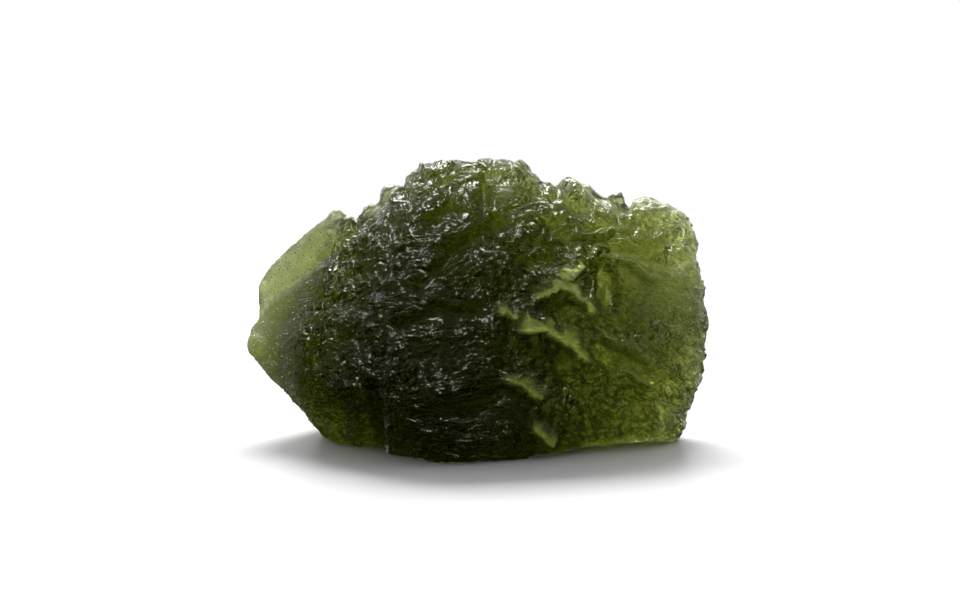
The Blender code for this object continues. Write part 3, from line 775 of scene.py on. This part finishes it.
def scale_cells(tree, threads):
    """Scales of the lower right: the grooves between them, 0 to 1, and the tilt of each one's face."""
    places = vector_maths(tree, "MULTIPLY", threads, (1.0, 1.45, 1.2))
    bend = tree.node("ShaderNodeTexNoise", inputs={
        "Vector": threads, "Scale": 1.6, "Detail": 2.0}, output=1)
    bend = vector_maths(tree, "MULTIPLY", bend, (1.5, 1.5, 1.5))
    places = vector_maths(tree, "ADD", places, bend)
    edge = tree.node("ShaderNodeTexVoronoi", {"feature": "DISTANCE_TO_EDGE"}, {
        "Vector": places, "Scale": 1.0})
    middle = tree.node("ShaderNodeTexVoronoi", inputs={"Vector": places, "Scale": 1.0}, output=2)
    lean = tree.node("ShaderNodeTexVoronoi", inputs={"Vector": places, "Scale": 1.0}, output=1)
    offset = vector_maths(tree, "SUBTRACT", places, middle)
    lean = vector_maths(tree, "SUBTRACT", lean, (0.5, 0.5, 0.5))
    tilt = vector_maths(tree, "DOT_PRODUCT", offset, lean, output=1)
    patches = tree.node("ShaderNodeTexNoise", inputs={"Vector": threads, "Scale": 0.9, "Detail": 1.0})
    return (1 - ramp(tree, edge, 0.02, 0.14)) * ramp(tree, patches, 0.25, 0.5), tilt


def moldavite_glass(stone_settings, glass_settings):
    """Wrinkled bottle-green glass, clear where smooth and frosted at both ends, with painted shade and
    glow.
    """
    material = bpy.data.materials.new("wrinkled_glass")
    tree = ShaderTree(material)
    frost, crinkled, scales, lips, lumps, shade = (
        tree.node("ShaderNodeAttribute", {"attribute_name": name}, output=2)
        for name in ("frost", "crinkled", "scales", "lips", "lumps", "shade"))
    threads = tree.node("ShaderNodeAttribute", {"attribute_name": "threads"}, output=1)
    place = tree.node("ShaderNodeTexCoord", output=3)

    hairs = hair_lines(tree, threads, (0.8, 3.6, 3.0))
    creases = hair_lines(tree, threads, (0.45, 1.9, 1.5))
    grooves, tilt = scale_cells(tree, threads)
    grains = tree.node("ShaderNodeTexNoise", inputs={
        "Vector": place, "Scale": GRAIN_RATE, "Detail": 4.0, "Roughness": 0.65})
    specks = tree.node("ShaderNodeTexVoronoi", inputs={"Vector": place, "Scale": DOT_RATE})
    # Dots of the frosted ends: pits in the bump and roughness, and painted glints in the film
    dots = (1 - ramp(tree, specks, 0.12, 0.34)) * ramp(tree, frost, 0.0, 0.6)
    wrinkles = crinkled * (hairs * HAIR_RELIEF + creases * CREASE_RELIEF)
    height = wrinkles + scales * (tilt * SCALE_RELIEF - grooves * GROOVE_RELIEF)
    height = height + grains * (CLEAR_GRAIN + frost * FROSTED_GRAIN) + dots * DOT_RELIEF
    normal = tree.node("ShaderNodeBump", inputs={
        "Strength": 1.0, "Distance": stone_settings.grain_height, "Height": height})

    # Painted shade: the grooves between scales, the gaps between hairs and the shaded places darken the
    # light let through
    gap_shade = crinkled * (1 - ramp(tree, hairs, 0.1, 0.75))
    painted_shade = larger(tree, scales * grooves * GROOVE_SHADE, gap_shade * HAIR_GAP_SHADE)
    painted_shade = larger(tree, painted_shade, shade * PLACED_SHADE)
    tint = mixed_colour(tree, painted_shade, glass_settings.surface_tint, glass_settings.shade_colour)
    base = glass_settings.clear_roughness
    roughness = base + (glass_settings.frosted_roughness - base) * frost * (1 - dots)
    clear = tree.node("ShaderNodeBsdfPrincipled", inputs={
        "Base Color": tint, "Roughness": roughness, "IOR": glass_settings.refraction,
        "Transmission Weight": 1.0, "Normal": normal})
    # The film has the frost's own colour, and the painted glow of the lips, lumps and dots
    pale_glow = glass_settings.pale_glow_colour
    lip_glow = mixed_colour(tree, ramp(tree, lips, 1.05, 1.35), glass_settings.lip_glow_colour, pale_glow)
    film_and_glow_colour = mixed_colour(tree, ramp(tree, lips, 0.0, 0.3), glass_settings.frost_colour, lip_glow)
    film_and_glow_colour = mixed_colour(tree, lumps + dots, film_and_glow_colour, pale_glow)
    film = tree.node("ShaderNodeBsdfPrincipled", inputs={
        "Base Color": film_and_glow_colour, "Roughness": FILM_ROUGHNESS, "IOR": glass_settings.refraction,
        "Specular IOR Level": FILM_GLOSS, "Normal": normal})
    # The frost takes a little film; the dots take painted glints; the lips and lumps take painted glow
    lit = tree.node("ShaderNodeMath", {"operation": "MINIMUM"}, {0: lips, 1: 1.0})
    milky_and_glow = frost * FROST_FILM + dots * DOT_GLINT
    milky_and_glow = milky_and_glow + lit * (LIP_GLOW + hairs * HAIR_GLOW) + lumps * LUMP_GLOW
    shader = tree.node("ShaderNodeMixShader", inputs={0: milky_and_glow, 1: clear, 2: film})
    volume = tree.node("ShaderNodeVolumeAbsorption", inputs={
        "Color": glass_settings.body_colour, "Density": glass_settings.depth_of_colour})
    tree.node("ShaderNodeOutputMaterial", inputs={"Surface": shader, "Volume": volume})
    return material


def in_frame(p, shift):
    """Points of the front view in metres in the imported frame."""
    return (resting(p) + shift) * MM


class MOLDAVITE_OT_stone(bpy.types.Operator):
    """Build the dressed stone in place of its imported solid"""

    bl_idname = "moldavite.stone"
    bl_label = "Stone"

    def execute(self, context):
        settings = context.scene.moldavite_stone
        points, faces = smooth_body()
        mesh = even_mesh(points, faces, settings.mesh_size / MM)
        mesh.name = "moldavite_stone"
        points, normals = arrays(mesh)
        normals = softened(mesh, normals)
        height, masks, threads = skin(points, normals, settings.wrinkle_height / MM)
        placed = resting(points + normals * height[:, None])
        pitted = FOOT_PITS * np.maximum(NOISE(points * 0.7 + 210.0), 0)
        placed[:, 2] = np.maximum(placed[:, 2], pitted)

        low, high = (np.array(corner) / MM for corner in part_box(STONE))
        middle = (placed.min(axis=0) + placed.max(axis=0)) / 2
        shift = (low + high) / 2 - middle
        shift[2] = low[2]
        context.scene["moldavite_shift"] = list(shift)
        mesh.vertices.foreach_set("co", ((placed + shift) * MM).astype(np.float32).ravel())
        mesh.flip_normals()
        mesh.shade_smooth()
        for name, values in masks.items():
            mask = mesh.attributes.new(name, "FLOAT", "POINT")
            mask.data.foreach_set("value", values.astype(np.float32))
        flowing = mesh.attributes.new("threads", "FLOAT_VECTOR", "POINT")
        flowing.data.foreach_set("vector", threads.astype(np.float32).ravel())
        mesh.update()
        mesh.materials.append(moldavite_glass(settings, context.scene.moldavite_glass))

        stone = bpy.data.objects.new("moldavite_stone", mesh)
        context.scene.collection.objects.link(stone)
        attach(stone, "root")
        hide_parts(STONE)
        return {"FINISHED"}


def studio_floor(settings):
    """A white floor, just under the stone, that fades into the white around it."""
    mesh = bpy.data.meshes.new("studio_floor")
    corners = [(-1, -1), (1, -1), (1, 1), (-1, 1)]
    mesh.from_pydata([(x * FLOOR_HALF, y * FLOOR_HALF, -FLOOR_DROP) for x, y in corners],
                     [], [(0, 1, 2, 3)])
    material = bpy.data.materials.new("floor_white")
    tree = ShaderTree(material)
    acrylic = tree.node("ShaderNodeBsdfPrincipled", inputs={
        "Base Color": settings.floor_colour, "Roughness": FLOOR_ROUGHNESS,
        "Specular IOR Level": FLOOR_GLOSS})
    nothing = tree.node("ShaderNodeBsdfTransparent")
    place = tree.node("ShaderNodeTexCoord", output=3)
    away = tree.node("ShaderNodeVectorMath", {"operation": "LENGTH"}, {0: place}, output=1)
    fading = ramp(tree, away, *FLOOR_FADE)
    shader = tree.node("ShaderNodeMixShader", inputs={0: fading, 1: acrylic, 2: nothing})
    tree.node("ShaderNodeOutputMaterial", inputs={"Surface": shader})
    mesh.materials.append(material)
    floor = bpy.data.objects.new("studio_floor", mesh)
    bpy.context.scene.collection.objects.link(floor)
    floor.visible_glossy = False


def studio_world(settings):
    """White to the camera, bright behind, dim on the viewer's side, and only a little of it mirrored.

    The floor isn't mirrored, so the room is black to mirrored light that comes from under it.
    """
    world = bpy.data.worlds.new("studio_world")
    bpy.context.scene.world = world
    tree = ShaderTree(world)
    direction = tree.node("ShaderNodeTexCoord")
    away = tree.node("ShaderNodeSeparateXYZ", inputs={0: direction}, output=1)
    upward = tree.node("ShaderNodeSeparateXYZ", inputs={0: direction}, output=2)
    behind = ramp(tree, away, *ROOM_TURN, settings.sky_before, settings.sky_behind)
    backdrop = ramp(tree, away, *BACKDROP_TURN, settings.sky_before, settings.sky_behind)
    above = ramp(tree, upward, *OVERHEAD_TURN, 0.0, settings.sky_above)
    over_floor = ramp(tree, upward, *FLOOR_TURN)
    all_round = larger(tree, behind, above)
    reflected = larger(tree, backdrop * over_floor, above * settings.sky_mirrored)
    mirrored = tree.node("ShaderNodeLightPath", output="Is Glossy Ray")
    strength = all_round + mirrored * (reflected - all_round)
    white = (1.0, 1.0, 1.0, 1.0)
    room = tree.node("ShaderNodeBackground", inputs={"Color": white, "Strength": strength})
    seen = tree.node("ShaderNodeBackground", inputs={"Color": white, "Strength": 1.0})
    by_camera = tree.node("ShaderNodeLightPath")
    either = tree.node("ShaderNodeMixShader", inputs={0: by_camera, 1: room, 2: seen})
    tree.node("ShaderNodeOutputWorld", inputs={"Surface": either})


def softbox(name, place, size, power):
    """A rectangular lamp that is aimed at the stone and that the camera doesn't see."""
    lamp = bpy.data.lights.new(name, "AREA")
    lamp.shape = "RECTANGLE"
    lamp.size, lamp.size_y = size
    lamp.energy = power
    holder = bpy.data.objects.new(name, lamp)
    bpy.context.scene.collection.objects.link(holder)
    holder.location = place
    aim = Vector(LAMP_TARGET) - Vector(place)
    holder.rotation_euler = aim.to_track_quat("-Z", "Y").to_euler()
    holder.visible_camera = False
    return holder


def studio_camera(settings, shift):
    """A long lens that looks down on the stone from the front."""
    distance = PICTURE_WIDTH * settings.lens / SENSOR_WIDTH
    camera = bpy.data.cameras.new("studio_camera")
    camera.lens = settings.lens
    camera.sensor_width = SENSOR_WIDTH
    camera.clip_start = 0.001
    camera.clip_end = 20.0
    holder = bpy.data.objects.new("studio_camera", camera)
    bpy.context.scene.collection.objects.link(holder)
    holder.location = in_frame(np.array([[AIM[0], AIM[1], -distance]]), shift)[0]
    holder.rotation_euler = (math.pi / 2 - LEAN, 0, 0)
    bpy.context.scene.camera = holder


class MOLDAVITE_OT_studio(bpy.types.Operator):
    """Set up the floor, the light and the camera"""

    bl_idname = "moldavite.studio"
    bl_label = "Studio"

    def execute(self, context):
        scene = context.scene
        settings = scene.moldavite_studio
        studio_floor(settings)
        studio_world(settings)
        softbox("softbox_top", SOFTBOX_PLACE, SOFTBOX_SIZE, settings.softbox_power)
        glints = softbox("glint_lamp", GLINT_PLACE, GLINT_SIZE, settings.glint_power)
        glints.visible_diffuse = False
        studio_camera(settings, np.array(scene["moldavite_shift"]))
        scene.view_settings.view_transform = "Standard"
        scene.cycles.max_bounces = 32
        scene.cycles.transmission_bounces = 32
        scene.cycles.glossy_bounces = 8
        return {"FINISHED"}


class MOLDAVITE_PT_panel(bpy.types.Panel):
    """The stone's and the studio's settings and buttons"""

    bl_idname = "MOLDAVITE_PT_panel"
    bl_label = "Raw moldavite"
    bl_space_type = "VIEW_3D"
    bl_region_type = "UI"
    bl_category = "Moldavite"

    def draw(self, context):
        for holder in (context.scene.moldavite_stone, context.scene.moldavite_glass,
                       context.scene.moldavite_studio):
            column = self.layout.column()
            for name in holder.__annotations__:
                column.prop(holder, name)
        self.layout.operator(MOLDAVITE_OT_stone.bl_idname)
        self.layout.operator(MOLDAVITE_OT_studio.bl_idname)


CLASSES = (StoneSettings, GlassSettings, StudioSettings, MOLDAVITE_OT_stone, MOLDAVITE_OT_studio,
           MOLDAVITE_PT_panel)


def register():
    for cls in CLASSES:
        bpy.utils.register_class(cls)
    bpy.types.Scene.moldavite_stone = bpy.props.PointerProperty(type=StoneSettings)
    bpy.types.Scene.moldavite_glass = bpy.props.PointerProperty(type=GlassSettings)
    bpy.types.Scene.moldavite_studio = bpy.props.PointerProperty(type=StudioSettings)


def unregister():
    del bpy.types.Scene.moldavite_studio
    del bpy.types.Scene.moldavite_glass
    del bpy.types.Scene.moldavite_stone
    for cls in reversed(CLASSES):
        bpy.utils.unregister_class(cls)


def main():
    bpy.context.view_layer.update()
    register()
    bpy.ops.moldavite.stone()
    bpy.ops.moldavite.studio()


if __name__ == "__main__":
    main()
